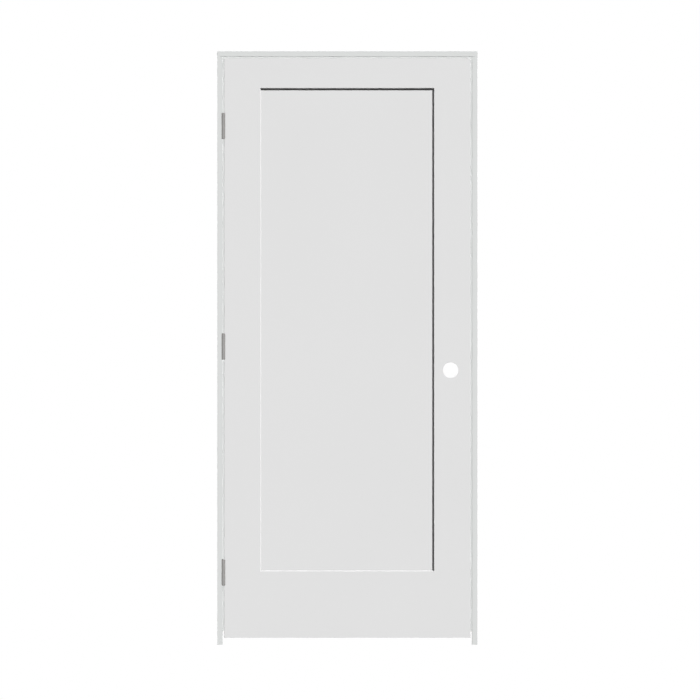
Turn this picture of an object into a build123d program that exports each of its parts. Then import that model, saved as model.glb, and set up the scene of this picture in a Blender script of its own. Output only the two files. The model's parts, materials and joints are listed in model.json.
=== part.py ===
"""Prehung interior door: a one-panel shaker slab hung on three butt hinges in a flat wooden jamb.

Millimetres. +X runs from the hinge jamb to the strike jamb, +Y from the side that the door opens towards
to the stop side, and +Z up from the floor. The origin is on the back of the hinge jamb, at the middle of
its depth, at the floor.
"""

import os
from math import radians, tan

from build123d import *

# Slab
slab_width = 863.6
slab_height = 2032.0
slab_thickness = 34.9
slab_ease = 1.0
lock_edge_bevel = 3.0
stile_width = 127.0
top_rail_width = 104.8
bottom_rail_width = 233.4

# Sticking, panel groove and panel
panel_recess = 9.4
sticking_run = 2.5
groove_depth = 12.7
panel_float = 1.6
panel_clearance = 0.1

# Gaps round the slab
hinge_reveal = 5.0
lock_reveal = 5.0
head_reveal = 5.0
undercut = 24.3
stop_clearance = 3.0

# Jamb and stops
jamb_thickness = 19.05
jamb_depth = 115.9
jamb_ease = 1.2
head_rabbet = 9.5
kerf_width = 3.2
kerf_depth = 6.0
kerf_spacing = 46.0
stop_thickness = 11.1
stop_width = 34.9
stop_round = 6.0
stop_ease = 1.2
stop_lift = 46.0

# Hinges
leaf_height = 88.9
leaf_thickness = 2.2
leaf_corner = 15.9
mortise_clearance = 0.15
hinge_throw = 14.35
hinge_backset = 4.8
knuckle_count = 5
knuckle_radius = 6.35
knuckle_gap = 0.3
pin_radius = 3.2
pin_clearance = 0.05
plate_clearance = 0.5
pin_head_radius = 5.4
pin_head_height = 2.0
tip_shank = 6.0
screw_radius = 2.4
screw_end_margin = 14.0
screw_side_margin = 9.5
top_hinge_drop = 238.0
middle_hinge_rise = 1021.0
bottom_hinge_rise = 229.0

# Lock and latch preparation
bore_height = 938.0
bore_backset = 69.85
bore_radius = 27.0
latch_radius = 12.7
latch_plate_height = 57.15
latch_plate_width = 25.4
latch_plate_depth = 3.2
latch_plate_corner = 6.35
strike_height = 57.15
strike_width = 28.6
strike_depth = 1.6
strike_corner = 6.35

# Places that follow from the sizes
face_y = -jamb_depth / 2
back_y = face_y + slab_thickness
slab_left = jamb_thickness + hinge_reveal
slab_right = slab_left + slab_width
opening_right = slab_right + lock_reveal
unit_width = opening_right + jamb_thickness
slab_top = undercut + slab_height
opening_top = slab_top + head_reveal
unit_height = opening_top + jamb_thickness
bevel_run = slab_thickness * tan(radians(lock_edge_bevel))
stop_face = back_y + stop_clearance
axis_x = jamb_thickness + hinge_reveal / 2
axis_y = face_y - hinge_throw
leaf_inset = slab_thickness - hinge_backset
plate_start = axis_y + knuckle_radius + plate_clearance
knuckle_pitch = leaf_height / knuckle_count
bore_x = slab_right - bore_backset
bore_z = undercut + bore_height
mid_thickness = face_y + slab_thickness / 2
hinge_heights = {
    "bottom": undercut + bottom_hinge_rise,
    "middle": undercut + middle_hinge_rise,
    "top": slab_top - top_hinge_drop,
}
cut_margin = 5.0


def save(part, label):
    """Name the piece and write it out."""
    part.label = label
    export_step(part, f"parts/{label}.step")


def jamb_stock(plane, length):
    """Flat jamb stock: its back on the plane's y axis, with two relief kerfs, and eased edges on its face."""
    with BuildPart() as stock:
        with BuildSketch(plane) as section:
            with Locations((jamb_thickness / 2, 0)):
                Rectangle(jamb_thickness, jamb_depth)
            fillet(section.vertices().sort_by(Axis.X)[-2:], jamb_ease)
            with Locations((0, -kerf_spacing / 2), (0, kerf_spacing / 2)):
                Rectangle(2 * kerf_depth, kerf_width, mode=Mode.SUBTRACT)
        extrude(amount=length)
    return stock.part


def stop_stock(plane, length):
    """Door stop moulding: its back on the plane's y axis and the edge that the slab closes on at y = 0."""
    with BuildPart() as stock:
        with BuildSketch(plane) as section:
            with Locations((stop_thickness / 2, stop_width / 2)):
                Rectangle(stop_thickness, stop_width)
            exposed = section.vertices().group_by(Axis.X)[-1].sort_by(Axis.Y)
            fillet(exposed[0], stop_ease)
            fillet(exposed[-1], stop_round)
        extrude(amount=length)
    return stock.part


def slab_stock(plane, face_width, length, bevel=0.0):
    """Stile or rail stock: outer edge on the plane's y axis, sloping sticking and panel groove inside."""
    foot = face_width + sticking_run
    groove_floor = foot - groove_depth
    with BuildPart() as stock:
        with BuildSketch(plane):
            with BuildLine():
                Polyline(
                    (0, 0),
                    (face_width, 0),
                    (foot, panel_recess),
                    (groove_floor, panel_recess),
                    (groove_floor, slab_thickness - panel_recess),
                    (foot, slab_thickness - panel_recess),
                    (face_width, slab_thickness),
                    (bevel, slab_thickness),
                    close=True,
                )
            make_face()
        extrude(amount=length)
    return stock.part


def hinge_stile_stock():
    """The hinge stile before its mortises."""
    plane = Plane(origin=(slab_left, face_y, undercut), x_dir=(1, 0, 0), z_dir=(0, 0, 1))
    with BuildPart() as stock:
        add(slab_stock(plane, stile_width, slab_height))
        fillet(stock.edges().filter_by(Axis.Z).sort_by(Axis.X)[:2], slab_ease)
    return stock.part


def lock_stile_stock():
    """The lock stile before its bores, its outer edge bevelled so that it clears the jamb as it swings."""
    plane = Plane(origin=(slab_right, face_y, slab_top), x_dir=(-1, 0, 0), z_dir=(0, 0, -1))
    with BuildPart() as stock:
        add(slab_stock(plane, stile_width, slab_height, bevel_run))
        fillet(stock.edges().filter_by(Axis.Z).sort_by(Axis.X)[-2:], slab_ease)
    return stock.part


def leaf_plate(low_x, front_y, height, clearance=0.0):
    """Flat plate of a hinge leaf, or its mortise: from front_y to the end of its inset, far corners round."""
    far_y = face_y + leaf_inset + clearance
    with BuildPart() as plate:
        with BuildSketch(Plane.YZ.offset(low_x)) as outline:
            with Locations(((front_y + far_y) / 2, height)):
                Rectangle(far_y - front_y, leaf_height + 2 * clearance)
            fillet(outline.vertices().group_by(Axis.X)[-1], leaf_corner + clearance)
        extrude(amount=leaf_thickness)
    return plate.part


def hinge_leaf(height, low_x, knuckles):
    """Hinge leaf: a plate with staggered screw holes, curled into the knuckles that belong to it."""
    knuckle_length = knuckle_pitch - knuckle_gap
    bottom = height - leaf_height / 2
    centres = [bottom + knuckle_pitch * (k + 0.5) for k in knuckles]
    near_y = face_y + screw_side_margin
    far_y = face_y + leaf_inset - screw_side_margin
    end = leaf_height / 2 - screw_end_margin
    holes = [(near_y, height - end), (far_y, height), (near_y, height + end)]
    with BuildPart() as leaf:
        add(leaf_plate(low_x, plate_start, height))
        with Locations(*[(low_x, axis_y, z) for z in centres]):
            Box(
                leaf_thickness,
                plate_start - axis_y,
                knuckle_length,
                align=(Align.MIN, Align.MIN, Align.CENTER),
            )
        with Locations(*[(axis_x, axis_y, z) for z in centres]):
            Cylinder(knuckle_radius, knuckle_length)
            Cylinder(pin_radius + pin_clearance, knuckle_pitch, mode=Mode.SUBTRACT)
        with Locations(*[Plane(origin=(low_x, y, z), z_dir=(-1, 0, 0)) for y, z in holes]):
            Hole(screw_radius, leaf_thickness)
    return leaf.part


def hinge_button(seat, shank, upwards):
    """Button head on a shank that stands in the knuckles: the head's seat is at seat, above or below it."""
    with BuildPart(Plane(origin=(axis_x, axis_y, seat), z_dir=(0, 0, 1 if upwards else -1))) as button:
        Cylinder(pin_head_radius, pin_head_height, align=(Align.CENTER, Align.CENTER, Align.MIN))
        Cylinder(pin_radius, shank, align=(Align.CENTER, Align.CENTER, Align.MAX))
    return button.part


os.makedirs("parts", exist_ok=True)

# Frame: two side jambs rabbeted for the head jamb
side_plane = Plane(origin=(0, 0, 0), x_dir=(1, 0, 0), z_dir=(0, 0, 1))
strike_plane = Plane(origin=(unit_width, 0, 0), x_dir=(-1, 0, 0), z_dir=(0, 0, 1))
head_plane = Plane(
    origin=(jamb_thickness - head_rabbet, 0, unit_height), x_dir=(0, 0, -1), z_dir=(1, 0, 0)
)
head_length = opening_right + head_rabbet - head_plane.origin.X

with BuildPart() as hinge_jamb:
    add(jamb_stock(side_plane, unit_height))
    with Locations((jamb_thickness - head_rabbet, 0, opening_top)):
        Box(
            head_rabbet,
            jamb_depth,
            jamb_thickness,
            align=(Align.MIN, Align.CENTER, Align.MIN),
            mode=Mode.SUBTRACT,
        )
    for height in hinge_heights.values():
        add(
            leaf_plate(jamb_thickness - leaf_thickness, face_y - cut_margin, height, mortise_clearance),
            mode=Mode.SUBTRACT,
        )
save(hinge_jamb.part, "hinge_jamb")

with BuildPart() as strike_jamb:
    add(jamb_stock(strike_plane, unit_height))
    with Locations((opening_right, 0, opening_top)):
        Box(
            head_rabbet,
            jamb_depth,
            jamb_thickness,
            align=(Align.MIN, Align.CENTER, Align.MIN),
            mode=Mode.SUBTRACT,
        )
    with BuildSketch(Plane.YZ.offset(opening_right)):
        with Locations((mid_thickness, bore_z)):
            RectangleRounded(strike_width, strike_height, strike_corner)
    extrude(amount=strike_depth, mode=Mode.SUBTRACT)
    with BuildSketch(Plane.YZ.offset(opening_right)):
        with Locations((mid_thickness, bore_z)):
            Circle(latch_radius)
    extrude(amount=jamb_thickness, mode=Mode.SUBTRACT)
save(strike_jamb.part, "strike_jamb")

with BuildPart() as head_jamb:
    add(jamb_stock(head_plane, head_length))
save(head_jamb.part, "head_jamb")

# Stops: planted on the jambs behind the slab, mitred at the head
stop_side_length = opening_top - stop_lift
left_mitre = Plane(origin=(jamb_thickness, 0, opening_top), z_dir=(1, 0, 1))
right_mitre = Plane(origin=(opening_right, 0, opening_top), z_dir=(-1, 0, 1))

with BuildPart() as hinge_stop:
    add(
        stop_stock(
            Plane(origin=(jamb_thickness, stop_face, stop_lift), x_dir=(1, 0, 0), z_dir=(0, 0, 1)),
            stop_side_length,
        )
    )
    split(bisect_by=left_mitre, keep=Keep.BOTTOM)
save(hinge_stop.part, "hinge_stop")

with BuildPart() as strike_stop:
    add(
        stop_stock(
            Plane(origin=(opening_right, stop_face, opening_top), x_dir=(-1, 0, 0), z_dir=(0, 0, -1)),
            stop_side_length,
        )
    )
    split(bisect_by=right_mitre, keep=Keep.BOTTOM)
save(strike_stop.part, "strike_stop")

with BuildPart() as head_stop:
    add(
        stop_stock(
            Plane(origin=(jamb_thickness, stop_face, opening_top), x_dir=(0, 0, -1), z_dir=(1, 0, 0)),
            opening_right - jamb_thickness,
        )
    )
    split(bisect_by=left_mitre, keep=Keep.TOP)
    split(bisect_by=right_mitre, keep=Keep.TOP)
save(head_stop.part, "head_stop")

# Slab: two stiles, two coped rails and a panel that floats in their grooves
with BuildPart() as hinge_stile:
    add(hinge_stile_stock())
    for height in hinge_heights.values():
        add(
            leaf_plate(slab_left, face_y - cut_margin, height, mortise_clearance),
            mode=Mode.SUBTRACT,
        )
save(hinge_stile.part, "hinge_stile")

lock_edge = Plane(
    origin=(slab_right - bevel_run / 2, mid_thickness, bore_z),
    x_dir=(0, 0, 1),
    z_dir=(slab_thickness, bevel_run, 0),
)
with BuildPart() as lock_stile:
    add(lock_stile_stock())
    with BuildSketch(Plane(origin=(bore_x, face_y, bore_z), z_dir=(0, -1, 0))):
        Circle(bore_radius)
    extrude(amount=-slab_thickness, mode=Mode.SUBTRACT)
    with BuildSketch(Plane(origin=(bore_x, mid_thickness, bore_z), z_dir=(1, 0, 0))):
        Circle(latch_radius)
    extrude(amount=bore_backset, mode=Mode.SUBTRACT)
    with BuildSketch(lock_edge):
        RectangleRounded(latch_plate_height, latch_plate_width, latch_plate_corner)
    extrude(amount=-latch_plate_depth, mode=Mode.SUBTRACT)
save(lock_stile.part, "lock_stile")

rail_left = slab_left + stile_width + sticking_run - groove_depth
rail_right = slab_right - stile_width - sticking_run + groove_depth
with BuildPart() as top_rail:
    add(
        slab_stock(
            Plane(origin=(rail_left, face_y, slab_top), x_dir=(0, 0, -1), z_dir=(1, 0, 0)),
            top_rail_width,
            rail_right - rail_left,
        )
    )
    add(hinge_stile_stock(), mode=Mode.SUBTRACT)
    add(lock_stile_stock(), mode=Mode.SUBTRACT)
save(top_rail.part, "top_rail")

with BuildPart() as bottom_rail:
    add(
        slab_stock(
            Plane(origin=(rail_right, face_y, undercut), x_dir=(0, 0, 1), z_dir=(-1, 0, 0)),
            bottom_rail_width,
            rail_right - rail_left,
        )
    )
    add(hinge_stile_stock(), mode=Mode.SUBTRACT)
    add(lock_stile_stock(), mode=Mode.SUBTRACT)
save(bottom_rail.part, "bottom_rail")

light_width = slab_width - 2 * (stile_width + sticking_run)
light_bottom = undercut + bottom_rail_width + sticking_run
light_height = slab_top - top_rail_width - sticking_run - light_bottom
panel_centre = (
    (slab_left + slab_right) / 2,
    mid_thickness,
    light_bottom + light_height / 2,
)
panel_reach = groove_depth - panel_float
with BuildPart() as panel:
    with Locations(panel_centre):
        Box(
            light_width + 2 * panel_reach,
            slab_thickness - 2 * (panel_recess + panel_clearance),
            light_height + 2 * panel_reach,
        )
save(panel.part, "panel")

# Hinges: a leaf let into the jamb, a leaf let into the slab, a loose pin and the plug under it
for place, height in hinge_heights.items():
    barrel_top = height + leaf_height / 2 - knuckle_gap / 2
    barrel_bottom = height - leaf_height / 2 + knuckle_gap / 2
    frame_leaf = hinge_leaf(height, jamb_thickness - leaf_thickness, range(0, knuckle_count, 2))
    door_leaf = hinge_leaf(height, slab_left, range(1, knuckle_count, 2))
    save(frame_leaf, f"{place}_hinge_frame_leaf")
    save(door_leaf, f"{place}_hinge_door_leaf")
    pin_length = barrel_top - barrel_bottom - tip_shank - knuckle_gap
    save(hinge_button(barrel_top, pin_length, True), f"{place}_hinge_pin")
    save(hinge_button(barrel_bottom, tip_shank, False), f"{place}_hinge_tip")
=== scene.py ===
"""The look of a prehung one-panel shaker door, laid out as an add-on.

Primer over bare pine, satin nickel hinges, and the screws, brads and staples.
"""

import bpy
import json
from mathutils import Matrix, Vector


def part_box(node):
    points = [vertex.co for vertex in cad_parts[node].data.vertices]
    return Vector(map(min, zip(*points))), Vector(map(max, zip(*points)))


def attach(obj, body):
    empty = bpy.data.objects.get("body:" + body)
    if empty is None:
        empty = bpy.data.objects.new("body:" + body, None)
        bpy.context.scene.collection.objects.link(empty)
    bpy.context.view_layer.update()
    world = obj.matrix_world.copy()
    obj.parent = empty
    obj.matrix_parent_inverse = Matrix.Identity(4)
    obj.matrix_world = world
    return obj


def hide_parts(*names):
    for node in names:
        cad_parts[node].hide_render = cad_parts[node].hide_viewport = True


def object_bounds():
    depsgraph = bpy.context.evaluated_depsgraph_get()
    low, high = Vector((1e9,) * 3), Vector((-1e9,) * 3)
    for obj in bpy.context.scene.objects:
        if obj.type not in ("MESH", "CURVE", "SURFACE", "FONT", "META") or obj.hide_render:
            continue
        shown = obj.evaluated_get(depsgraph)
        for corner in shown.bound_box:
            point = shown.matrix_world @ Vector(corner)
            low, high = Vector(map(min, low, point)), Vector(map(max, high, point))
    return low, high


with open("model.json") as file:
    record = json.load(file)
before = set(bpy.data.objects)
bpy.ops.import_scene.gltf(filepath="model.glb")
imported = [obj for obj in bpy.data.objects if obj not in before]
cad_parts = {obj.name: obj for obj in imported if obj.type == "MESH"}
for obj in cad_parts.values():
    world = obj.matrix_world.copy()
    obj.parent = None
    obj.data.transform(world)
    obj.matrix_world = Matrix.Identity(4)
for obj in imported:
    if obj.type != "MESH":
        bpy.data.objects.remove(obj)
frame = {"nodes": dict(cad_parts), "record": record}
CAD_BOX = [list(corner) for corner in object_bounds()]

import json
from math import cos, pi, radians, sin

import bmesh
import bpy
from bpy.props import (
    FloatProperty,
    FloatVectorProperty,
    IntProperty,
    PointerProperty,
)
from mathutils import Vector

bl_info = {
    "name": "Prehung Shaker Door",
    "version": (1, 0, 0),
    "blender": (4, 5, 0),
    "location": "3D View > Sidebar > Door",
    "description": "Primer, bare pine, satin nickel and small fasteners for a prehung shaker door",
    "category": "Object",
}

STILES = ("hinge_stile", "lock_stile")
RAILS = ("top_rail", "bottom_rail")
STOPS = ("hinge_stop", "strike_stop", "head_stop")
HINGES = ("top", "middle", "bottom")
STOP_PRIMER = "side_stop_primer"

JAMB_LOW, JAMB_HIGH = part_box("hinge_jamb")
FAR_LOW, FAR_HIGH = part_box("strike_jamb")
HEAD_LOW, HEAD_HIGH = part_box("head_jamb")
SLAB_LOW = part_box("hinge_stile")[0]
SLAB_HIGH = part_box("lock_stile")[1]
STOP_LOW, STOP_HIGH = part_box("hinge_stop")
FAR_STOP_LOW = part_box("strike_stop")[0]
HEAD_STOP_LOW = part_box("head_stop")[0]
MOUNTS = {mount["name"]: mount for mount in frame["record"]["mounts"]}
BORE = Vector(MOUNTS["lockset_bore"]["pos_m"])
STRIKE_Z = MOUNTS["strike_bore"]["pos_m"][2]

STICKING = 0.0025  # how far the sloping sticking runs in from the face
HAIR = 0.0003  # how far past a face a bare zone reaches
OUTSIDE = 0.02  # how far a bare zone stands off the board
SLAB_INSET = 0.003  # slab's face to the bare wood of its ends
JAMB_INSET = 0.0015  # jamb's edge to the bare wood of its back and ends
KERF_FLOOR = 0.0065  # jamb's back to past the floor of its kerfs
STOP_SKIN = 0.00035  # jamb's face to the bare wood of the stops' feet
BORE_REACH = 0.0274  # lock bore's radius and a little more
LATCH_REACH = 0.0131  # latch bore's radius and a little more
PLATE_REACH = 0.0289  # half a plate's height and a little more
PLATE_SEAT = 0.8828  # x of the seat of the latch plate
EDGE_SKIN = 0.0021  # lock edge to the first bare wood past its bevel
FACE_SKIN = 0.0006  # slab's face to the first bare wood in the bore
STRIKE_SPAN = (0.0027, 0.0322)  # strike's pocket, back from the jamb's front edge
STRIKE_SEAT = 0.0025  # jamb's face to past the seat of the strike
BOLT_SPAN = (0.004, 0.031)  # bolt hole, back from the jamb's front edge
BOLT_REACH = 0.013  # bolt hole's radius and a little more
SEAM_REACH = 0.01  # how far beside a joint its line may show
SEAM_WIDTH = 0.0004  # half the width of a joint line in the primer
SHOW_THROUGH = 0.2  # how much grain shows through the primer of jambs and stops

PIN_RADIUS = 0.0032
PIN_HEAD = 0.002
PIN_CHAMFER = 0.0004
HEAD_SEAM = 0.0002  # how far under a pin's head its last ring lies
DOME = (
    (0.93, 0.0),
    (1.0, 0.00028),
    (1.0, 0.00075),
    (0.95, 0.0012),
    (0.82, 0.00158),
    (0.6, 0.00184),
    (0.3, 0.00197),
)  # a pin head's outline: share of its radius, and height above its seat
BRAD = (
    (0.9, -0.0006),
    (1.0, -0.00005),
    (0.86, 0.00012),
    (0.55, 0.00015),
    (0.3, 0.00006),
)  # a filled brad hole's outline: share of its radius, and height off the stop
BRAD_FOOT, BRAD_DIP = -0.0007, 0.00003
BRAD_STRAY = 0.006
STAPLE_PLACES = (-0.043, -0.012, 0.019, 0.045)  # across the jamb's depth
STAPLE_SHIFT = 0.003  # how far the far jamb's staples stand from the near one's
STAPLE_PROUD = 0.0002
STAPLE_TILT = 0.22

KEY_WAY = Vector((0.74, -1.0, 0.87))  # from the door to the key lamp
REAR_WAY = Vector((-0.66, 1.0, 0.78))
REAR_FILL_WAY = Vector((0.5, 1.0, 0.35))
REVEAL_WAY = Vector((0, -1, 0))
KEY_WIDTH, REAR_WIDTH, REAR_FILL_WIDTH, REVEAL_WIDTH = 6, 12, 30, 2  # lamps' widths in degrees
PICTURE = 700  # side of the square picture in pixels
CAMERA_DISTANCE = 8.0
CAMERA_REACH = 100
FLOOR_REACH = 40.0


# Settings


def colour(name, description, default):
    """A colour setting, as linear light."""
    return FloatVectorProperty(
        name=name,
        description=description,
        subtype="COLOR",
        size=3,
        min=0,
        max=1,
        default=default,
    )


def length(name, description, default):
    """A length setting in metres."""
    return FloatProperty(
        name=name,
        description=description,
        default=default,
        min=0,
        precision=4,
        unit="LENGTH",
        subtype="DISTANCE",
    )


def plain(name, description, default):
    """A setting without a unit."""
    return FloatProperty(name=name, description=description, default=default, min=0)


class PaintSettings(bpy.types.PropertyGroup):
    """Primer and the bare pine under it."""

    slab_colour: colour("Slab primer", "Primer on stiles, rails and panel", (0.745, 0.745, 0.745))
    jamb_colour: colour("Jamb primer", "Primer on jambs and stops", (0.686, 0.70, 0.693))
    pine_light: colour("Early wood", "Pale part of the pine's rings", (0.62, 0.43, 0.245))
    pine_dark: colour("Late wood", "Dark part of the pine's rings", (0.43, 0.25, 0.115))
    roughness: plain("Primer roughness", "Sheen of the dry primer", 0.55)
    peel_size: length("Orange peel", "Width of the roller's stipple", 0.0022)
    peel_height: length("Stipple height", "Height of the roller's stipple", 0.0001)
    block_length: length("Finger-joint block", "Mean length of one pine block", 0.31)
    finger_pitch: length("Finger pitch", "Width of one joint finger", 0.0065)
    finger_length: length("Finger length", "Depth of one joint finger", 0.009)
    overspray: length("Overspray", "How far the primer strays onto bare faces", 0.003)


class HingeSettings(bpy.types.PropertyGroup):
    """Nickel plate, pins and screws of the hinges."""

    # Darker than satin nickel's own colour: partly the plate's grey, partly painted shade that stands in
    # for the dim surroundings a real plate reflects.
    nickel: colour("Nickel", "Satin nickel plate", (0.281, 0.277, 0.27))
    roughness: plain("Nickel roughness", "Blur of the brushed plate", 0.42)
    head_radius: length("Screw head radius", "Radius of the flat head", 0.0041)
    head_proud: length("Screw head proud", "How far the head stands off the leaf", 0.00025)
    recess_depth: length("Recess depth", "Depth of the cross recess", 0.0016)
    shank_radius: length("Shank radius", "Radius of the screw's core", 0.0018)
    shank_length: length("Shank length", "Length of the screw below its head", 0.0155)
    end_margin: length("End margin", "Leaf end to the outer screws", 0.014)
    near_row: length("Near row", "Leaf's back edge to the middle screw", 0.0095)
    far_row: length("Far row", "Leaf's back edge to the outer screws", 0.0206)
    seed: IntProperty(name="Seed", description="Turn of each screw's recess", default=7, min=0)


class FastenerSettings(bpy.types.PropertyGroup):
    """Brads in the stops and staples in the jambs."""

    brad_radius: length("Brad radius", "Radius of a filled brad hole", 0.0016)
    brad_spacing: length("Brad spacing", "Distance between brads", 0.29)
    brad_end: length("Brad end margin", "Stop's end to the first brad", 0.045)
    crown: length("Staple crown", "Width of a staple", 0.0111)
    wire: length("Staple wire", "Radius of the staple's wire", 0.0006)
    leg: length("Staple leg", "Length of a staple's leg", 0.014)
    seed: IntProperty(name="Seed", description="Stray of each fastener", default=3, min=0)


class StageSettings(bpy.types.PropertyGroup):
    """Floor, lamps and camera."""

    metres_per_pixel: plain("Metres per pixel", "Scale of the square picture of 700 pixels", 0.003505)
    centre_x: plain("Centre column", "Picture column of the door's middle", 347.3)
    centre_y: plain("Centre row", "Picture row of the door's middle", 348.0)
    key: plain("Key", "Share of the front face's light from the key lamp", 0.955)
    reveal: plain("Reveal", "Share of the stops' light from straight ahead, down the gaps", 0.905)
    rear: plain("Rear", "Share of the back face's light from the rear lamp", 0.68)
    rear_fill: plain("Rear fill", "Share of the back face's light from the rear fill lamp", 0.26)
    ambient: plain("Ambient", "Light from all round", 0.02)


# Node building


class Wiring:
    """Adds nodes to a tree; an input takes a number or another node's output."""

    def __init__(self, tree):
        self.tree = tree

    def add(self, kind, inputs=(), **settings):
        """Adds one node and fills its inputs, by name or number."""
        node = self.tree.nodes.new(kind)
        for name, value in settings.items():
            setattr(node, name, value)
        for key, value in dict(inputs).items():
            if isinstance(value, bpy.types.NodeSocket):
                self.tree.links.new(value, node.inputs[key])
            else:
                node.inputs[key].default_value = value
        return node

    def math(self, operation, *values):
        """One Math node."""
        return self.add("ShaderNodeMath", enumerate(values), operation=operation).outputs[0]

    def vector(self, operation, *values):
        """One Vector Math node that gives a vector."""
        return self.add("ShaderNodeVectorMath", enumerate(values), operation=operation).outputs[0]

    def parts(self, place):
        """A vector's x, y and z."""
        return list(self.add("ShaderNodeSeparateXYZ", {0: place}).outputs)

    def joined(self, x=0.0, y=0.0, z=0.0):
        """Three numbers as a vector."""
        return self.add("ShaderNodeCombineXYZ", {0: x, 1: y, 2: z}).outputs[0]

    def drawn_out(self, place, across, along):
        """A place given by its side, depth and run, scaled across the grain and along it."""
        scaled = zip(place, (across, across, along))
        return self.joined(*[self.math("MULTIPLY", part, scale) for part, scale in scaled])

    def noise(self, place, scale, detail=2.0, roughness=0.5, w=None):
        """A noise texture's value."""
        inputs = {"Vector": place, "Scale": scale, "Detail": detail, "Roughness": roughness}
        if w is not None:
            inputs["W"] = w
        dimensions = "3D" if w is None else "4D"
        return self.add("ShaderNodeTexNoise", inputs, noise_dimensions=dimensions).outputs[0]

    def blend(self, share, a, b):
        """Mixes two numbers."""
        return self.add("ShaderNodeMix", {0: share, 2: a, 3: b}, data_type="FLOAT").outputs[0]

    def tint(self, share, a, b, how="MIX"):
        """Mixes two colours."""
        mix = self.add("ShaderNodeMix", {0: share, 6: a, 7: b}, data_type="RGBA", blend_type=how)
        return mix.outputs[2]

    def shaded(self, rgb, shade):
        """A colour times a shade of grey."""
        return self.tint(1.0, rgb, self.joined(shade, shade, shade), "MULTIPLY")

    def remap(self, value, low, high, new_low, new_high):
        """Maps one range to another, held at its ends."""
        ranges = enumerate((value, low, high, new_low, new_high))
        return self.add("ShaderNodeMapRange", ranges).outputs[0]

    def vary(self, noise, low, high):
        """Maps the usual span of a noise texture to a range."""
        return self.remap(noise, 0.3, 0.7, low, high)

    def inside(self, place, low, high):
        """1 inside the box from low to high and 0 outside."""
        low, high = Vector(low), Vector(high)
        away = self.vector("ABSOLUTE", self.vector("SUBTRACT", place, (low + high) / 2))
        x, y, z = self.parts(self.vector("SUBTRACT", away, (high - low) / 2))
        furthest = self.math("MAXIMUM", self.math("MAXIMUM", x, y), z)
        return self.math("LESS_THAN", furthest, 0.0)


def new_material(name):
    """An empty material with its output and a Principled BSDF."""
    material = bpy.data.materials.new(name)
    material.use_nodes = True
    material.node_tree.nodes.clear()
    wiring = Wiring(material.node_tree)
    shader = wiring.add("ShaderNodeBsdfPrincipled")
    output = wiring.add("ShaderNodeOutputMaterial")
    material.node_tree.links.new(shader.outputs[0], output.inputs[0])
    return material, wiring, shader


def opaque(rgb):
    """A colour with its alpha."""
    return (*rgb, 1.0)


def zone(xs, ys, zs):
    """A box as its low and high corners, from its spans along x, y and z."""
    return tuple(zip(xs, ys, zs))


def about(middle, reach):
    """A span about its middle."""
    return (middle - reach, middle + reach)


# Materials


def pine(wiring, place, along, paint):
    """Finger-jointed pine, as its colour and a height for a bump; the boards run along x or z."""
    x, y, z = wiring.parts(place)
    side, run = (x, z) if along == "z" else (z, x)
    half_pitch = paint.finger_pitch / 2
    fingers = wiring.math("PINGPONG", wiring.math("ADD", y, 1.0), half_pitch)
    zigzag = wiring.math("MULTIPLY", fingers, paint.finger_length / half_pitch)
    most_stray, stray_scale = 0.35, 2.3
    stray = wiring.math("MULTIPLY", wiring.noise(wiring.joined(run), stray_scale, 0.0), most_stray)
    reach = wiring.math("ADD", wiring.math("ADD", run, zigzag), stray)
    count = wiring.math("DIVIDE", reach, paint.block_length)
    block = wiring.math("FLOOR", count)
    tone = wiring.add("ShaderNodeTexWhiteNoise", {"W": block}, noise_dimensions="1D").outputs[0]

    ring_across, ring_along, ring_count, ring_sharpness = 42.0, 1.6, 13.0, 2.4
    board = (side, y, run)
    ring_place = wiring.drawn_out(board, ring_across, ring_along)
    field = wiring.noise(ring_place, 0.55, 1.0, 0.45, w=wiring.math("MULTIPLY", tone, 40.0))
    rings = wiring.math("PINGPONG", wiring.math("MULTIPLY", field, ring_count), 1.0)
    late = wiring.math("POWER", rings, ring_sharpness)
    fibre_across, fibre_along = 1800.0, 22.0
    fibre = wiring.noise(wiring.drawn_out(board, fibre_across, fibre_along), 1.0, 2.0)

    late_tint, fibre_tint = wiring.math("MULTIPLY", late, 0.72), wiring.math("MULTIPLY", fibre, 0.22)
    share = wiring.math("ADD", late_tint, fibre_tint)
    wood = wiring.tint(share, opaque(paint.pine_light), opaque(paint.pine_dark))
    darkest_block, palest_block = 0.9, 1.07
    wood = wiring.shaded(wood, wiring.remap(tone, 0.0, 1.0, darkest_block, palest_block))
    seam_share, glue = 0.0009, (0.2, 0.11, 0.05)
    seam = wiring.math("LESS_THAN", wiring.math("PINGPONG", count, 0.5), seam_share)
    wood = wiring.tint(wiring.math("MULTIPLY", seam, 0.65), wood, opaque(glue))
    raised, sunk = wiring.math("MULTIPLY", fibre, 0.5), wiring.math("MULTIPLY", late, 0.35)
    return wood, wiring.math("SUBTRACT", wiring.math("SUBTRACT", raised, sunk), seam)


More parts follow.
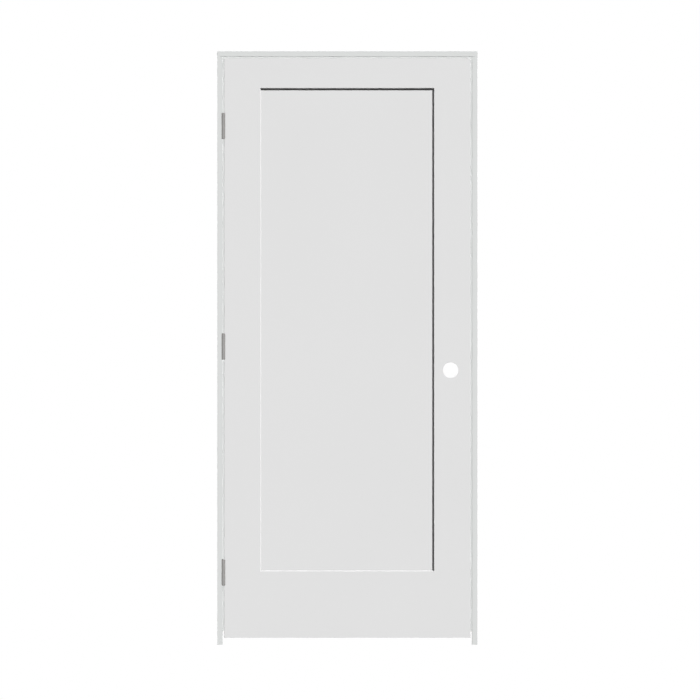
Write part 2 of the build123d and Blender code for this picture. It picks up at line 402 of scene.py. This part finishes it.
def primed(name, colour_value, along, bare, paint, show_through, pockets=(), seams=()):
    """Primer over wood, bare in the boxes of `bare` and `pockets`.

    Primer strays into `bare`, and not into `pockets`, which are cut after it.
    Each seam is a box and the x of the joint line that shows through in it.
    """
    material, wiring, shader = new_material(name)
    place = wiring.add("ShaderNodeTexCoord").outputs["Object"]
    stray = wiring.noise(place, 190.0, 3.0, 0.6)
    drift = wiring.math("MULTIPLY", wiring.math("SUBTRACT", stray, 0.5), 2.0 * paint.overspray)
    strayed = wiring.vector("ADD", place, wiring.joined(y=drift))
    mask = wiring.inside(strayed, *bare[0])
    for box in bare[1:]:
        mask = wiring.math("MAXIMUM", mask, wiring.inside(strayed, *box))
    for box in pockets:
        mask = wiring.math("MAXIMUM", mask, wiring.inside(place, *box))
    wood, wood_height = pine(wiring, place, along, paint)

    cloud = wiring.noise(place, 2.6, 3.0, 0.55)
    speck = wiring.noise(place, 900.0, 1.0)
    shade = wiring.math("ADD", wiring.vary(cloud, 0.993, 1.004), wiring.vary(speck, -0.004, 0.004))
    coat = wiring.shaded(opaque(colour_value), shade)
    wiring.tree.links.new(wiring.tint(mask, coat, wood), shader.inputs["Base Color"])

    wood_roughness, primer_shine = 0.78, 0.32
    blotch = wiring.noise(place, 60.0, 3.0)
    sheen = wiring.vary(blotch, paint.roughness - 0.05, paint.roughness + 0.06)
    wiring.tree.links.new(wiring.blend(mask, sheen, wood_roughness), shader.inputs["Roughness"])
    shader.inputs["Specular IOR Level"].default_value = primer_shine

    seam_depth, wood_relief = 0.5, 1.2
    peel = wiring.noise(place, 1.0 / paint.peel_size, 2.0, 0.45)
    coat_height = wiring.math("ADD", peel, wiring.math("MULTIPLY", wood_height, show_through))
    for low, high, line in seams:
        away = wiring.math("ABSOLUTE", wiring.math("SUBTRACT", wiring.parts(place)[0], line))
        slope = wiring.remap(away, 0.0, SEAM_WIDTH, 1.0, 0.0)
        groove = wiring.math("MULTIPLY", slope, wiring.inside(place, low, high))
        coat_height = wiring.math("SUBTRACT", coat_height, wiring.math("MULTIPLY", groove, seam_depth))
    height = wiring.blend(mask, coat_height, wiring.math("MULTIPLY", wood_height, wood_relief))
    relief = {"Strength": 1.0, "Distance": paint.peel_height, "Height": height}
    wiring.tree.links.new(wiring.add("ShaderNodeBump", relief).outputs[0], shader.inputs["Normal"])
    return material


def metal(wiring, shader, base, roughness, strength, depth, relief):
    """Finishes a metal: its colour, its roughness, and a bump of that strength and depth."""
    wiring.tree.links.new(base, shader.inputs["Base Color"])
    wiring.tree.links.new(roughness, shader.inputs["Roughness"])
    shader.inputs["Metallic"].default_value = 1.0
    bump = wiring.add("ShaderNodeBump", {"Strength": strength, "Distance": depth, "Height": relief})
    wiring.tree.links.new(bump.outputs[0], shader.inputs["Normal"])


def brushed_nickel(name, colour_value, roughness):
    """Satin nickel plate, brushed along the hinge."""
    material, wiring, shader = new_material(name)
    place = wiring.add("ShaderNodeTexCoord").outputs["Object"]
    stretched = wiring.vector("MULTIPLY", place, (9000.0, 9000.0, 160.0))
    brush = wiring.noise(stretched, 1.0, 3.0, 0.6)
    cloud = wiring.noise(place, 140.0, 3.0)
    shade = wiring.math("ADD", wiring.vary(brush, 0.93, 1.05), wiring.vary(cloud, -0.03, 0.03))
    base = wiring.shaded(opaque(colour_value), shade)
    mottle = wiring.vary(cloud, roughness - 0.03, roughness + 0.03)
    blur = wiring.math("ADD", wiring.vary(brush, -0.06, 0.06), mottle)
    metal(wiring, shader, base, blur, 0.6, 0.000006, brush)
    return material


def zinc(name):
    """Galvanised staple wire, mottled."""
    material, wiring, shader = new_material(name)
    place = wiring.add("ShaderNodeTexCoord").outputs["Object"]
    mottle = wiring.noise(place, 1500.0, 3.0)
    dull, bright = (0.42, 0.43, 0.44), (0.6, 0.61, 0.62)
    base = wiring.tint(wiring.vary(mottle, 0.0, 1.0), opaque(dull), opaque(bright))
    metal(wiring, shader, base, wiring.vary(mottle, 0.35, 0.55), 0.5, 0.00001, mottle)
    return material


def dress(nodes, material):
    """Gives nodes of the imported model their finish."""
    for node in nodes:
        piece = frame["nodes"][node]
        for place in piece.material_slots:
            place.material = material


# Mesh building


def ringed_mesh(name, rings, start, end):
    """A closed shell through rings of equal counts, with a point at each end.

    Rings run anticlockwise about the way from start to end.
    """
    mesh = bpy.data.meshes.new(name)
    shell = bmesh.new()
    first, last = shell.verts.new(start), shell.verts.new(end)
    rows = [[shell.verts.new(point) for point in ring] for ring in rings]
    count = len(rows[0])
    for k in range(count):
        after = (k + 1) % count
        shell.faces.new((first, rows[0][after], rows[0][k]))
        for below, above in zip(rows, rows[1:]):
            shell.faces.new((below[k], below[after], above[after], above[k]))
        shell.faces.new((rows[-1][k], rows[-1][after], last))
    for face in shell.faces:
        face.smooth = True
    bmesh.ops.recalc_face_normals(shell, faces=shell.faces)
    shell.to_mesh(mesh)
    shell.free()
    return mesh


def circle(radius, height, angles):
    """A ring about z."""
    return [(radius * cos(a), radius * sin(a), height) for a in angles]


def even_angles(count):
    """Angles of a ring of that many points."""
    return [2 * pi * k / count for k in range(count)]


def cross_reach(angle, half_width, reach):
    """How far a cross recess reaches from its middle at an angle."""
    nothing = 1e-6
    along, across = abs(cos(angle)), abs(sin(angle))
    arms = []
    for a, b in ((along, across), (across, along)):
        sideways = half_width / b if b > nothing else reach / a
        arms.append(min(reach / a if a > nothing else 0.0, sideways))
    return max(arms)


def screw_mesh(hinge):
    """A flat-head wood screw along z: its head's top at z 0, its point below."""
    arm_reach, arm_half = 0.0021, 0.00055
    turn, corner = pi / 2, 0.2561  # a quarter turn, and where an arm's side meets its end
    steps = (0.0, corner, 0.5, pi / 4, turn - 0.5, turn - corner)
    angles = [quarter * turn + step for quarter in range(4) for step in steps]
    head, shank, run = hinge.head_radius, hinge.shank_radius, hinge.shank_length
    tip_radius, tip_drop, tip_point, taper = 0.0003, 0.0002, 0.0012, 0.003
    rings = [circle(tip_radius, -run - tip_drop, angles), circle(shank * 0.75, -run + taper, angles)]
    pitch, threads, foot = 0.0018, 5, -run + 0.0036
    root, crest = 0.8, 1.22
    for n in range(threads):
        rings.append(circle(shank * root, foot + n * pitch, angles))
        rings.append(circle(shank * crest, foot + (n + 0.5) * pitch, angles))
    rings.append(circle(shank, foot + threads * pitch, angles))
    cone, rim_low, rim_high, rim_bevel = 0.0026, 0.00032, 0.00012, 0.0003
    outline = ((shank, -cone), (head, -rim_low), (head, -rim_high), (head - rim_bevel, 0.0))
    rings += [circle(radius, height, angles) for radius, height in outline]
    mouth = [cross_reach(a, arm_half, arm_reach) for a in angles]
    recess = ((1.04, 0.00004), (0.97, -0.0002), (0.5, -hinge.recess_depth * 0.8))
    for share, height in recess:
        rings.append([(r * share * cos(a), r * share * sin(a), height) for r, a in zip(mouth, angles)])
    return ringed_mesh("screw", rings, (0, 0, -run - tip_point), (0, 0, -hinge.recess_depth))


def sweep(name, path, radius, sides):
    """A wire along a flat path in the x-z plane, with its ends closed."""
    points = [Vector(p) for p in path]
    up = Vector((0, 1, 0))
    rings = []
    for k, point in enumerate(points):
        before, after = points[max(k - 1, 0)], points[min(k + 1, len(points) - 1)]
        out = up.cross((after - before).normalized())
        rings.append([point + radius * (cos(a) * out + sin(a) * up) for a in even_angles(sides)])
    return ringed_mesh(name, rings, points[0], points[-1])


def staple_mesh(fasteners):
    """A staple with its crown at z 0 and its legs down."""
    half, leg, bend, sides = fasteners.crown / 2, fasteners.leg, 0.0012, 8
    path = [(-half, 0, -leg), (-half, 0, -leg / 2), (-half, 0, -bend)]
    path += [(-half + bend * (1 - cos(a)), 0, -bend + bend * sin(a)) for a in (pi / 6, pi / 3)]
    path += [(-half + bend, 0, 0), (0, 0, 0), (half - bend, 0, 0)]
    path += [(half - bend * (1 - cos(a)), 0, -bend + bend * sin(a)) for a in (pi / 3, pi / 6)]
    path += [(half, 0, -bend), (half, 0, -leg / 2), (half, 0, -leg)]
    return sweep("staple", path, fasteners.wire, sides)


def filled_brad_mesh(fasteners):
    """A brad hole filled and primed over: a shallow blister with a dip in its middle."""
    angles = even_angles(20)
    rings = [circle(fasteners.brad_radius * share, height, angles) for share, height in BRAD]
    return ringed_mesh("filled_brad", rings, (0, 0, BRAD_FOOT), (0, 0, BRAD_DIP))


def domed_profile(run, reach):
    """Radius and height along a pin or plug with a domed head, from its foot to its crown."""
    seat = run - PIN_HEAD
    profile = [(PIN_RADIUS - PIN_CHAMFER, 0.0), (PIN_RADIUS, PIN_CHAMFER)]
    profile += [(PIN_RADIUS, seat - HEAD_SEAM), (PIN_RADIUS, seat)]
    return profile + [(reach * share, seat + height) for share, height in DOME]


# Rows of like pieces


def row_tree(name, spaced):
    """A Geometry Nodes tree that sets an object on each point, facing the point's `facing`.

    If spaced, it sets them at a spacing along each edge instead.
    """
    tree = bpy.data.node_groups.new(name, "GeometryNodeTree")
    wiring = Wiring(tree)
    sockets = {}
    wanted = [
        ("Geometry", "NodeSocketGeometry"),
        ("Piece", "NodeSocketObject"),
        ("Finish", "NodeSocketMaterial"),
        ("Most turn", "NodeSocketFloat"),
        ("Most stray", "NodeSocketFloat"),
        ("Seed", "NodeSocketInt"),
    ]
    if spaced:
        wanted.append(("Spacing", "NodeSocketFloat"))
    for title, kind in wanted:
        socket = tree.interface.new_socket(name=title, in_out="INPUT", socket_type=kind)
        sockets[title] = socket.identifier
    tree.interface.new_socket(name="Geometry", in_out="OUTPUT", socket_type="NodeSocketGeometry")
    entry = wiring.add("NodeGroupInput").outputs

    def drawn(low, high):
        """A random number for each point."""
        limits = {2: low, 3: high, 8: entry["Seed"]}
        return wiring.add("FunctionNodeRandomValue", limits, data_type="FLOAT").outputs[1]

    points = entry["Geometry"]
    named = wiring.add("GeometryNodeInputNamedAttribute", {"Name": "facing"}, data_type="FLOAT_VECTOR")
    facing = named.outputs[0]
    if spaced:
        curve = wiring.add("GeometryNodeMeshToCurve", {0: points}).outputs[0]
        spacing = {0: curve, "Length": entry["Spacing"]}
        points = wiring.add("GeometryNodeResampleCurve", spacing, mode="LENGTH").outputs[0]
        tangent = wiring.add("GeometryNodeInputTangent").outputs[0]
        stray = drawn(wiring.math("MULTIPLY", entry["Most stray"], -1.0), entry["Most stray"])
        scaled = wiring.add("ShaderNodeVectorMath", {0: tangent, "Scale": stray}, operation="SCALE")
        moved = {0: points, "Offset": scaled.outputs[0]}
        points = wiring.add("GeometryNodeSetPosition", moved).outputs[0]
    piece = wiring.add("GeometryNodeObjectInfo", {0: entry["Piece"], 1: True}).outputs["Geometry"]
    aim = wiring.add("FunctionNodeAlignRotationToVector", {"Vector": facing}, axis="Z").outputs[0]
    placing = {"Points": points, "Instance": piece, "Rotation": aim}
    placed = wiring.add("GeometryNodeInstanceOnPoints", placing).outputs[0]
    spin = {"Axis": (0, 0, 1), "Angle": drawn(0.0, entry["Most turn"])}
    turning = {0: placed, "Rotation": wiring.add("FunctionNodeAxisAngleToRotation", spin).outputs[0]}
    turned = wiring.add("GeometryNodeRotateInstances", turning).outputs[0]
    real = wiring.add("GeometryNodeRealizeInstances", {0: turned}).outputs[0]
    finish = {0: real, "Material": entry["Finish"]}
    wiring.add("NodeGroupOutput", {0: wiring.add("GeometryNodeSetMaterial", finish).outputs[0]})
    return tree, sockets


def row_of(name, places, edges, part, finish, values, body):
    """One piece made of `part` repeated at places, made real and riding on a body.

    Each place is a point and the way it faces.
    """
    tree, sockets = row_tree(name + "_row", bool(edges))
    base = bpy.data.meshes.new(name)
    base.from_pydata([point for point, way in places], edges, [])
    facing = base.attributes.new("facing", "FLOAT_VECTOR", "POINT")
    for entry, (point, way) in zip(facing.data, places):
        entry.vector = way
    piece = bpy.data.objects.new(name, base)
    bpy.context.scene.collection.objects.link(piece)
    pattern = bpy.data.objects.new(name + "_pattern", part)
    modifier = piece.modifiers.new("Row", "NODES")
    modifier.node_group = tree
    modifier[sockets["Piece"]] = pattern
    modifier[sockets["Finish"]] = finish
    for title, value in values.items():
        modifier[sockets[title]] = value
    bpy.context.view_layer.update()
    graph = bpy.context.evaluated_depsgraph_get()
    made = bpy.data.meshes.new_from_object(piece.evaluated_get(graph))
    if not made.polygons:
        raise RuntimeError(name + " came out empty")
    piece.modifiers.clear()
    piece.data = made
    if finish.name not in made.materials:
        made.materials.append(finish)
    bpy.data.objects.remove(pattern)
    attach(piece, body)
    return piece


# Operators


class DOOR_OT_prime_slab(bpy.types.Operator):
    """Primes the stiles, rails and panel, with bare wood on the slab's ends and in its lock pockets"""

    bl_idname = "door.prime_slab"
    bl_label = "Prime the slab"

    def execute(self, context):
        paint = context.scene.door_paint
        front, back = SLAB_LOW.y, SLAB_HIGH.y
        across = (SLAB_LOW.x - OUTSIDE, SLAB_HIGH.x + OUTSIDE)
        depth = (front + SLAB_INSET, back - SLAB_INSET)
        ends = [
            zone(across, depth, (SLAB_HIGH.z - HAIR, SLAB_HIGH.z + OUTSIDE)),
            zone(across, depth, (SLAB_LOW.z - OUTSIDE, SLAB_LOW.z + HAIR)),
        ]
        edge = SLAB_HIGH.x - EDGE_SKIN
        bore = Vector((BORE.x, (front + back) / 2, BORE.z))
        latch = about(bore.y, LATCH_REACH)
        bore_depth = (front + FACE_SKIN, back - FACE_SKIN)
        pockets = [
            zone(about(bore.x, BORE_REACH), bore_depth, about(bore.z, BORE_REACH)),
            zone((bore.x, edge), latch, about(bore.z, LATCH_REACH)),
            zone((PLATE_SEAT, edge), latch, about(bore.z, PLATE_REACH)),
        ]
        joint_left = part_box("hinge_stile")[1].x - STICKING
        joint_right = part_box("lock_stile")[0].x + STICKING
        top_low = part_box("top_rail")[0].z + STICKING
        bottom_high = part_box("bottom_rail")[1].z - STICKING
        through = (front - OUTSIDE, back + OUTSIDE)
        seams = []
        for line in (joint_left, joint_right):
            for span in ((SLAB_LOW.z, bottom_high), (top_low, SLAB_HIGH.z)):
                seams.append((*zone(about(line, SEAM_REACH), through, span), line))
        finishes = (
            (STILES, "stile_primer", "z", pockets),
            (RAILS, "rail_primer", "x", ()),
            (("panel",), "panel_primer", "z", ()),
        )
        for nodes, name, along, cut in finishes:
            dress(nodes, primed(name, paint.slab_colour, along, ends, paint, 0.0, cut, seams))
        return {"FINISHED"}


class DOOR_OT_prime_jambs(bpy.types.Operator):
    """Primes the jambs and stops, with bare pine on backs, ends, kerfs and in the strike's pocket"""

    bl_idname = "door.prime_jambs"
    bl_label = "Prime the jambs and stops"

    def execute(self, context):
        paint = context.scene.door_paint
        front, back, top = JAMB_LOW.y, JAMB_HIGH.y, JAMB_HIGH.z
        across = (-OUTSIDE, FAR_HIGH.x + OUTSIDE)
        depth = (front + JAMB_INSET, back - JAMB_INSET)
        upright = (-OUTSIDE, top + OUTSIDE)
        bare = [
            zone((-OUTSIDE, KERF_FLOOR), depth, upright),
            zone((FAR_HIGH.x - KERF_FLOOR, FAR_HIGH.x + OUTSIDE), depth, upright),
            zone(across, depth, (-OUTSIDE, HAIR)),
            zone(across, depth, (top - HAIR, top + OUTSIDE)),
        ]
        head_back = [zone(across, depth, (top - KERF_FLOOR, top + OUTSIDE))]
        foot = (STOP_LOW.z - OUTSIDE, STOP_LOW.z + HAIR)
        stop_ends = [zone((STOP_LOW.x + HAIR, FAR_LOW.x - STOP_SKIN), (front, back), foot)]
        pocket, bolt = [tuple(front + y for y in span) for span in (STRIKE_SPAN, BOLT_SPAN)]
        face = FAR_LOW.x
        strike = [
            zone((face + HAIR, face + STRIKE_SEAT), pocket, about(STRIKE_Z, PLATE_REACH)),
            zone((face + HAIR, FAR_HIGH.x), bolt, about(STRIKE_Z, BOLT_REACH)),
        ]
        finishes = (
            (("hinge_jamb", "strike_jamb"), "side_jamb_primer", "z", bare, strike),
            (("head_jamb",), "head_jamb_primer", "x", head_back, ()),
            (("hinge_stop", "strike_stop"), STOP_PRIMER, "z", stop_ends, ()),
            (("head_stop",), "head_stop_primer", "x", stop_ends, ()),
        )
        for nodes, name, along, zones, cut in finishes:
            dress(nodes, primed(name, paint.jamb_colour, along, zones, paint, SHOW_THROUGH, cut))
        return {"FINISHED"}


class DOOR_OT_plate_hinges(bpy.types.Operator):
    """Plates the hinge leaves and turns the domed pins and tips"""

    bl_idname = "door.plate_hinges"
    bl_label = "Hinge leaves, pins and tips"

    def execute(self, context):
        hinge = context.scene.door_hinge
        # The plate's colour carries painted shade: it is darker than real nickel, standing in for the dim
        # surroundings it would reflect.
        nickel = brushed_nickel("satin_nickel_plate", hinge.nickel, hinge.roughness)
        leaves = [f"{h}_hinge_{side}_leaf" for h in HINGES for side in ("frame", "door")]
        dress(leaves, nickel)
        for leaf in leaves:
            frame["nodes"][leaf].visible_diffuse = False
        for h in HINGES:
            for kind, upwards in (("pin", 1), ("tip", -1)):
                self.turn_pin(context, f"{h}_hinge_{kind}", upwards, nickel)
        return {"FINISHED"}

    def turn_pin(self, context, node, upwards, nickel):
        """A pin or plug with a domed head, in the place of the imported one."""
        low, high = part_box(node)
        x, y = (low.x + high.x) / 2, (low.y + high.y) / 2
        run, reach = high.z - low.z, (high.x - low.x) / 2
        start = low.z if upwards > 0 else high.z
        angles = even_angles(32)
        rings = [
            [(x + r * cos(a), y + upwards * r * sin(a), start + upwards * z) for a in angles]
            for r, z in domed_profile(run, reach)
        ]
        mesh = ringed_mesh(node + "_domed", rings, (x, y, start), (x, y, start + upwards * run))
        mesh.materials.append(nickel)
        piece = bpy.data.objects.new(node + "_domed", mesh)
        context.scene.collection.objects.link(piece)
        piece.visible_diffuse = False
        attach(piece, "frame")
        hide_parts(node)


class DOOR_OT_drive_screws(bpy.types.Operator):
    """Drives three flat-head screws through each hinge leaf"""

    bl_idname = "door.drive_screws"
    bl_label = "Hinge screws"

    def execute(self, context):
        hinge = context.scene.door_hinge
        # The screws share that colour, so the same painted shade is in it.
        steel = brushed_nickel("screw_nickel", hinge.nickel, hinge.roughness)
        values = {"Most turn": pi / 2, "Most stray": 0.0, "Seed": hinge.seed}
        for body, face, way in (("frame", JAMB_HIGH.x, 1), ("door", SLAB_LOW.x, -1)):
            places = []
            for h in HINGES:
                low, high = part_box(f"{h}_hinge_{body}_leaf")
                middle = (low.z + high.z) / 2
                reach = (high.z - low.z) / 2 - hinge.end_margin
                rows = ((-reach, hinge.far_row), (0.0, hinge.near_row), (reach, hinge.far_row))
                for up, row in rows:
                    point = (face + way * hinge.head_proud, high.y - row, middle + up)
                    places.append((point, (way, 0, 0)))
            name = body + "_hinge_screws"
            row_of(name, places, [], screw_mesh(hinge), steel, values, body)
        return {"FINISHED"}


class DOOR_OT_nail_stops(bpy.types.Operator):
    """Sets the filled brads along the three stops"""

    bl_idname = "door.nail_stops"
    bl_label = "Stop brads"

    def execute(self, context):
        fasteners = context.scene.door_fasteners
        filler = bpy.data.materials.get(STOP_PRIMER)
        if filler is None:
            raise RuntimeError("prime the stops first")
        middle = (STOP_LOW.y + STOP_HIGH.y) / 2
        end, head = fasteners.brad_end, HEAD_STOP_LOW.z
        near, far, foot = STOP_HIGH.x, FAR_STOP_LOW.x, STOP_LOW.z + fasteners.brad_end
        lines = [
            ((near, middle, foot), (near, middle, head - end), (1, 0, 0)),
            ((far, middle, foot), (far, middle, head - end), (-1, 0, 0)),
            ((near + end, middle, head), (far - end, middle, head), (0, 0, -1)),
        ]
        places, edges = [], []
        for start, stop, way in lines:
            edges.append((len(places), len(places) + 1))
            places += [(start, way), (stop, way)]
        values = {
            "Most turn": pi,
            "Most stray": BRAD_STRAY,
            "Seed": fasteners.seed,
            "Spacing": fasteners.brad_spacing,
        }
        brad = filled_brad_mesh(fasteners)
        row_of("stop_brads", places, edges, brad, filler, values, "frame")
        return {"FINISHED"}


class DOOR_OT_staple_head(bpy.types.Operator):
    """Staples the side jambs to the head"""

    bl_idname = "door.staple_head"
    bl_label = "Head staples"

    def execute(self, context):
        fasteners = context.scene.door_fasteners
        height = (HEAD_LOW.z + HEAD_HIGH.z) / 2
        places = []
        for y in STAPLE_PLACES:
            places.append(((-STAPLE_PROUD, y, height), (-1, 0, 0)))
            places.append(((FAR_HIGH.x + STAPLE_PROUD, y + STAPLE_SHIFT, height), (1, 0, 0)))
        values = {"Most turn": STAPLE_TILT, "Most stray": 0.0, "Seed": fasteners.seed}
        staple, wire = staple_mesh(fasteners), zinc("staple_zinc")
        row_of("head_staples", places, [], staple, wire, values, "frame")
        return {"FINISHED"}


def sun(name, towards, share, width):
    """A distant lamp seen towards a way, with a share of the light on a face square to y."""
    lamp = bpy.data.lights.new(name, "SUN")
    lamp.energy = pi * share * towards.length
    lamp.angle = radians(width)
    holder = bpy.data.objects.new(name, lamp)
    bpy.context.scene.collection.objects.link(holder)
    holder.rotation_mode = "QUATERNION"
    holder.rotation_quaternion = towards.to_track_quat("Z", "Y")
    return holder


def linked(name, pieces, state="INCLUDE"):
    """A collection that tells a lamp which pieces it lights, or which ones shade it."""
    group = bpy.data.collections.new(name)
    for piece in pieces:
        group.objects.link(piece)
    for entry in group.collection_objects:
        entry.light_linking.link_state = state
    return group


def seen_directly(wiring):
    """1 for rays from the camera and from mirrors and glass."""
    rays = wiring.add("ShaderNodeLightPath").outputs
    seen = wiring.math("MAXIMUM", rays["Is Camera Ray"], rays["Is Glossy Ray"])
    return wiring.math("MAXIMUM", seen, rays["Is Transmission Ray"])


class DOOR_OT_set_stage(bpy.types.Operator):
    """Lays the floor, hangs the lamps and sets the camera"""

    bl_idname = "door.set_stage"
    bl_label = "Stage"

    def execute(self, context):
        stage, scene = context.scene.door_stage, context.scene
        floor = self.lay_floor(scene)
        self.fill_world(scene, stage)
        self.hang_lamps(stage, floor)
        for node in STILES + RAILS:
            frame["nodes"][node].visible_diffuse = False
        self.set_camera(scene, stage)
        scene.view_settings.view_transform = "Standard"
        return {"FINISHED"}

    def lay_floor(self, scene):
        """A pale floor that shows white, and the door's shadow on it."""
        mesh = bpy.data.meshes.new("floor")
        side = FLOOR_REACH
        corners = [(-side, -side, 0), (side, -side, 0), (side, side, 0), (-side, side, 0)]
        mesh.from_pydata(corners, [], [(0, 1, 2, 3)])
        floor = bpy.data.objects.new("floor", mesh)
        scene.collection.objects.link(floor)
        material = bpy.data.materials.new("pale_floor")
        material.use_nodes = True
        material.node_tree.nodes.clear()
        wiring = Wiring(material.node_tree)
        shadow_share, bounce = 0.25, 0.04
        pale = wiring.add("ShaderNodeBsdfDiffuse", {"Color": (0.9, 0.9, 0.9, 1)}).outputs[0]
        dim = wiring.add("ShaderNodeBsdfDiffuse", {"Color": (bounce, bounce, bounce, 1)}).outputs[0]
        white = wiring.add("ShaderNodeEmission", {"Strength": 1.0}).outputs[0]
        shown = wiring.add("ShaderNodeMixShader", {0: shadow_share, 1: white, 2: pale}).outputs[0]
        laid = wiring.add("ShaderNodeMixShader", {0: seen_directly(wiring), 1: dim, 2: shown}).outputs[0]
        below = wiring.add("ShaderNodeNewGeometry").outputs["Backfacing"]
        clear = wiring.add("ShaderNodeBsdfTransparent").outputs[0]
        surface = wiring.add("ShaderNodeMixShader", {0: below, 1: laid, 2: clear}).outputs[0]
        wiring.add("ShaderNodeOutputMaterial", {0: surface})
        mesh.materials.append(material)
        return floor

    def fill_world(self, scene, stage):
        """A dim even light, seen as white."""
        world = bpy.data.worlds.new("studio")
        scene.world = world
        world.use_nodes = True
        world.node_tree.nodes.clear()
        wiring = Wiring(world.node_tree)
        plain_white = (1, 1, 1, 1)
        light = {"Color": plain_white, "Strength": stage.ambient}
        dim = wiring.add("ShaderNodeBackground", light).outputs[0]
        white = wiring.add("ShaderNodeBackground", {"Color": plain_white, "Strength": 1.0}).outputs[0]
        surface = wiring.add("ShaderNodeMixShader", {0: seen_directly(wiring), 1: dim, 2: white}).outputs[0]
        wiring.add("ShaderNodeOutputWorld", {0: surface})

    def hang_lamps(self, stage, floor):
        """A key, two lamps behind, and two for the stops alone, which keep the gaps pale."""
        stops = [frame["nodes"][node] for node in STOPS]
        woodwork = [piece for node, piece in frame["nodes"].items() if "_hinge_" not in node]
        key = sun("key_lamp", KEY_WAY, stage.key, KEY_WIDTH)
        key.light_linking.receiver_collection = linked("all_but_stops", stops, "EXCLUDE")
        shades = linked("woodwork", woodwork)
        key.light_linking.blocker_collection = shades
        sun("rear_lamp", REAR_WAY, stage.rear, REAR_WIDTH)
        sun("rear_fill_lamp", REAR_FILL_WAY, stage.rear_fill, REAR_FILL_WIDTH)
        reveal = sun("reveal_lamp", REVEAL_WAY, stage.reveal, REVEAL_WIDTH)
        reveal.light_linking.receiver_collection = linked("reveal_stops", stops)
        reveal.light_linking.blocker_collection = shades
        side = sun("stop_side_lamp", Vector((KEY_WAY.x, 0, KEY_WAY.z)), stage.key, KEY_WIDTH)
        side.light_linking.receiver_collection = linked("side_stops", stops)
        side.light_linking.blocker_collection = linked("side_floor", [floor])

    def set_camera(self, scene, stage):
        """A camera without perspective, square on to the door, that frames it as the photograph does."""
        middle = (Vector(CAD_BOX[0]) + Vector(CAD_BOX[1])) / 2
        lens = bpy.data.cameras.new("camera")
        lens.type = "ORTHO"
        lens.ortho_scale = stage.metres_per_pixel * PICTURE
        lens.clip_end = CAMERA_REACH
        camera = bpy.data.objects.new("camera", lens)
        scene.collection.objects.link(camera)
        across = (PICTURE / 2 - stage.centre_x) * stage.metres_per_pixel
        down = (PICTURE / 2 - stage.centre_y) * stage.metres_per_pixel
        camera.location = (middle.x + across, -CAMERA_DISTANCE, middle.z - down)
        camera.rotation_euler = (pi / 2, 0, 0)
        scene.camera = camera


OPERATORS = (
    DOOR_OT_prime_slab,
    DOOR_OT_prime_jambs,
    DOOR_OT_plate_hinges,
    DOOR_OT_drive_screws,
    DOOR_OT_nail_stops,
    DOOR_OT_staple_head,
    DOOR_OT_set_stage,
)

SETTINGS = {
    "door_paint": PaintSettings,
    "door_hinge": HingeSettings,
    "door_fasteners": FastenerSettings,
    "door_stage": StageSettings,
}


class DOOR_PT_panel(bpy.types.Panel):
    """Lists the door's pieces in the sidebar"""

    bl_idname = "DOOR_PT_panel"
    bl_label = "Prehung door"
    bl_space_type = "VIEW_3D"
    bl_region_type = "UI"
    bl_category = "Door"

    def draw(self, context):
        for operator in OPERATORS:
            self.layout.operator(operator.bl_idname)
        for group in SETTINGS:
            box = self.layout.box()
            settings = getattr(context.scene, group)
            for name in settings.__annotations__:
                box.prop(settings, name)


def register():
    """Makes the settings, operators and panel known."""
    for name, group in SETTINGS.items():
        bpy.utils.register_class(group)
        setattr(bpy.types.Scene, name, PointerProperty(type=group))
    for operator in OPERATORS:
        bpy.utils.register_class(operator)
    bpy.utils.register_class(DOOR_PT_panel)


def unregister():
    """Takes them out again."""
    bpy.utils.unregister_class(DOOR_PT_panel)
    for operator in reversed(OPERATORS):
        bpy.utils.unregister_class(operator)
    for name, group in SETTINGS.items():
        delattr(bpy.types.Scene, name)
        bpy.utils.unregister_class(group)


def main():
    """Builds every piece in order."""
    register()
    bpy.ops.door.prime_slab()
    bpy.ops.door.prime_jambs()
    bpy.ops.door.plate_hinges()
    bpy.ops.door.drive_screws()
    bpy.ops.door.nail_stops()
    bpy.ops.door.staple_head()
    bpy.ops.door.set_stage()


if __name__ == "__main__":
    main()
